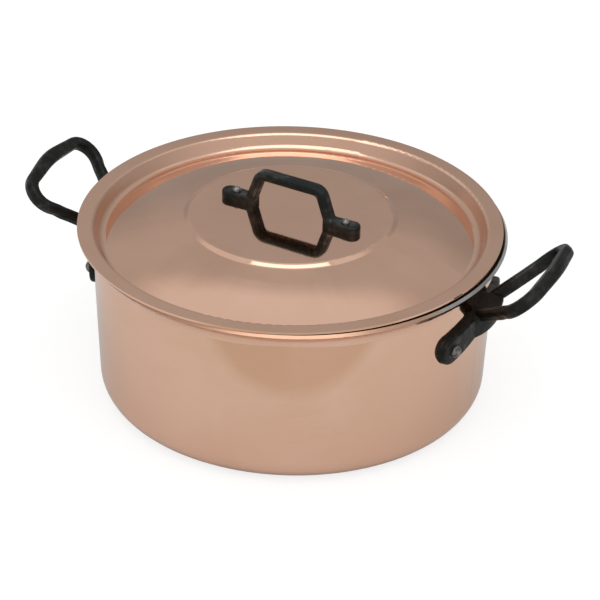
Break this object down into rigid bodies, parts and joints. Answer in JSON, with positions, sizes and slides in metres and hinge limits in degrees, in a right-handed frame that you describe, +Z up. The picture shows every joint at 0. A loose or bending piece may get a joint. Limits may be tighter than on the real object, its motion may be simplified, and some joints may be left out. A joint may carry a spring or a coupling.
{
  "type": "lidded round copper casserole",
  "caption": "Round copper casserole with a flared tinned rim, a sunken domed lid with a strap handle, and cast iron loop handles riveted to its sides.",
  "frame": {"origin": "middle of the pan's flat base, on the surface it stands on", "axes": "+Z up along the pan's axis, +X out through the right side handle, +Y towards the back"},
  "size_m": [0.3906, 0.2948, 0.1617],
  "materials": {
    "pan_copper": "polished copper",
    "pan_tin": "wiped tin",
    "side_iron": "oiled black casting",
    "side_rivet": "worn, darkened steel",
    "lid_copper": "polished copper",
    "lid_tin": "wiped tin",
    "lid_iron": "oiled black casting",
    "lid_rivet": "worn, darkened steel"
  },
  "bodies": {
    "pan": {"pan_shell": "pan_copper", "pan_lining": "pan_tin", "right_handle": "side_iron", "left_handle": "side_iron", "right_handle_rivets": "side_rivet", "left_handle_rivets": "side_rivet"},
    "lid": {"lid_shell": "lid_copper", "lid_lining": "lid_tin", "lid_handle": "lid_iron", "lid_handle_rivets": "lid_rivet"}
  },
  "joints": [
    {"name": "lid_lift", "type": "slide", "parent": "pan", "child": "lid", "axis": [0, 0, 1], "range_m": [0, 0.15]}
  ]
}
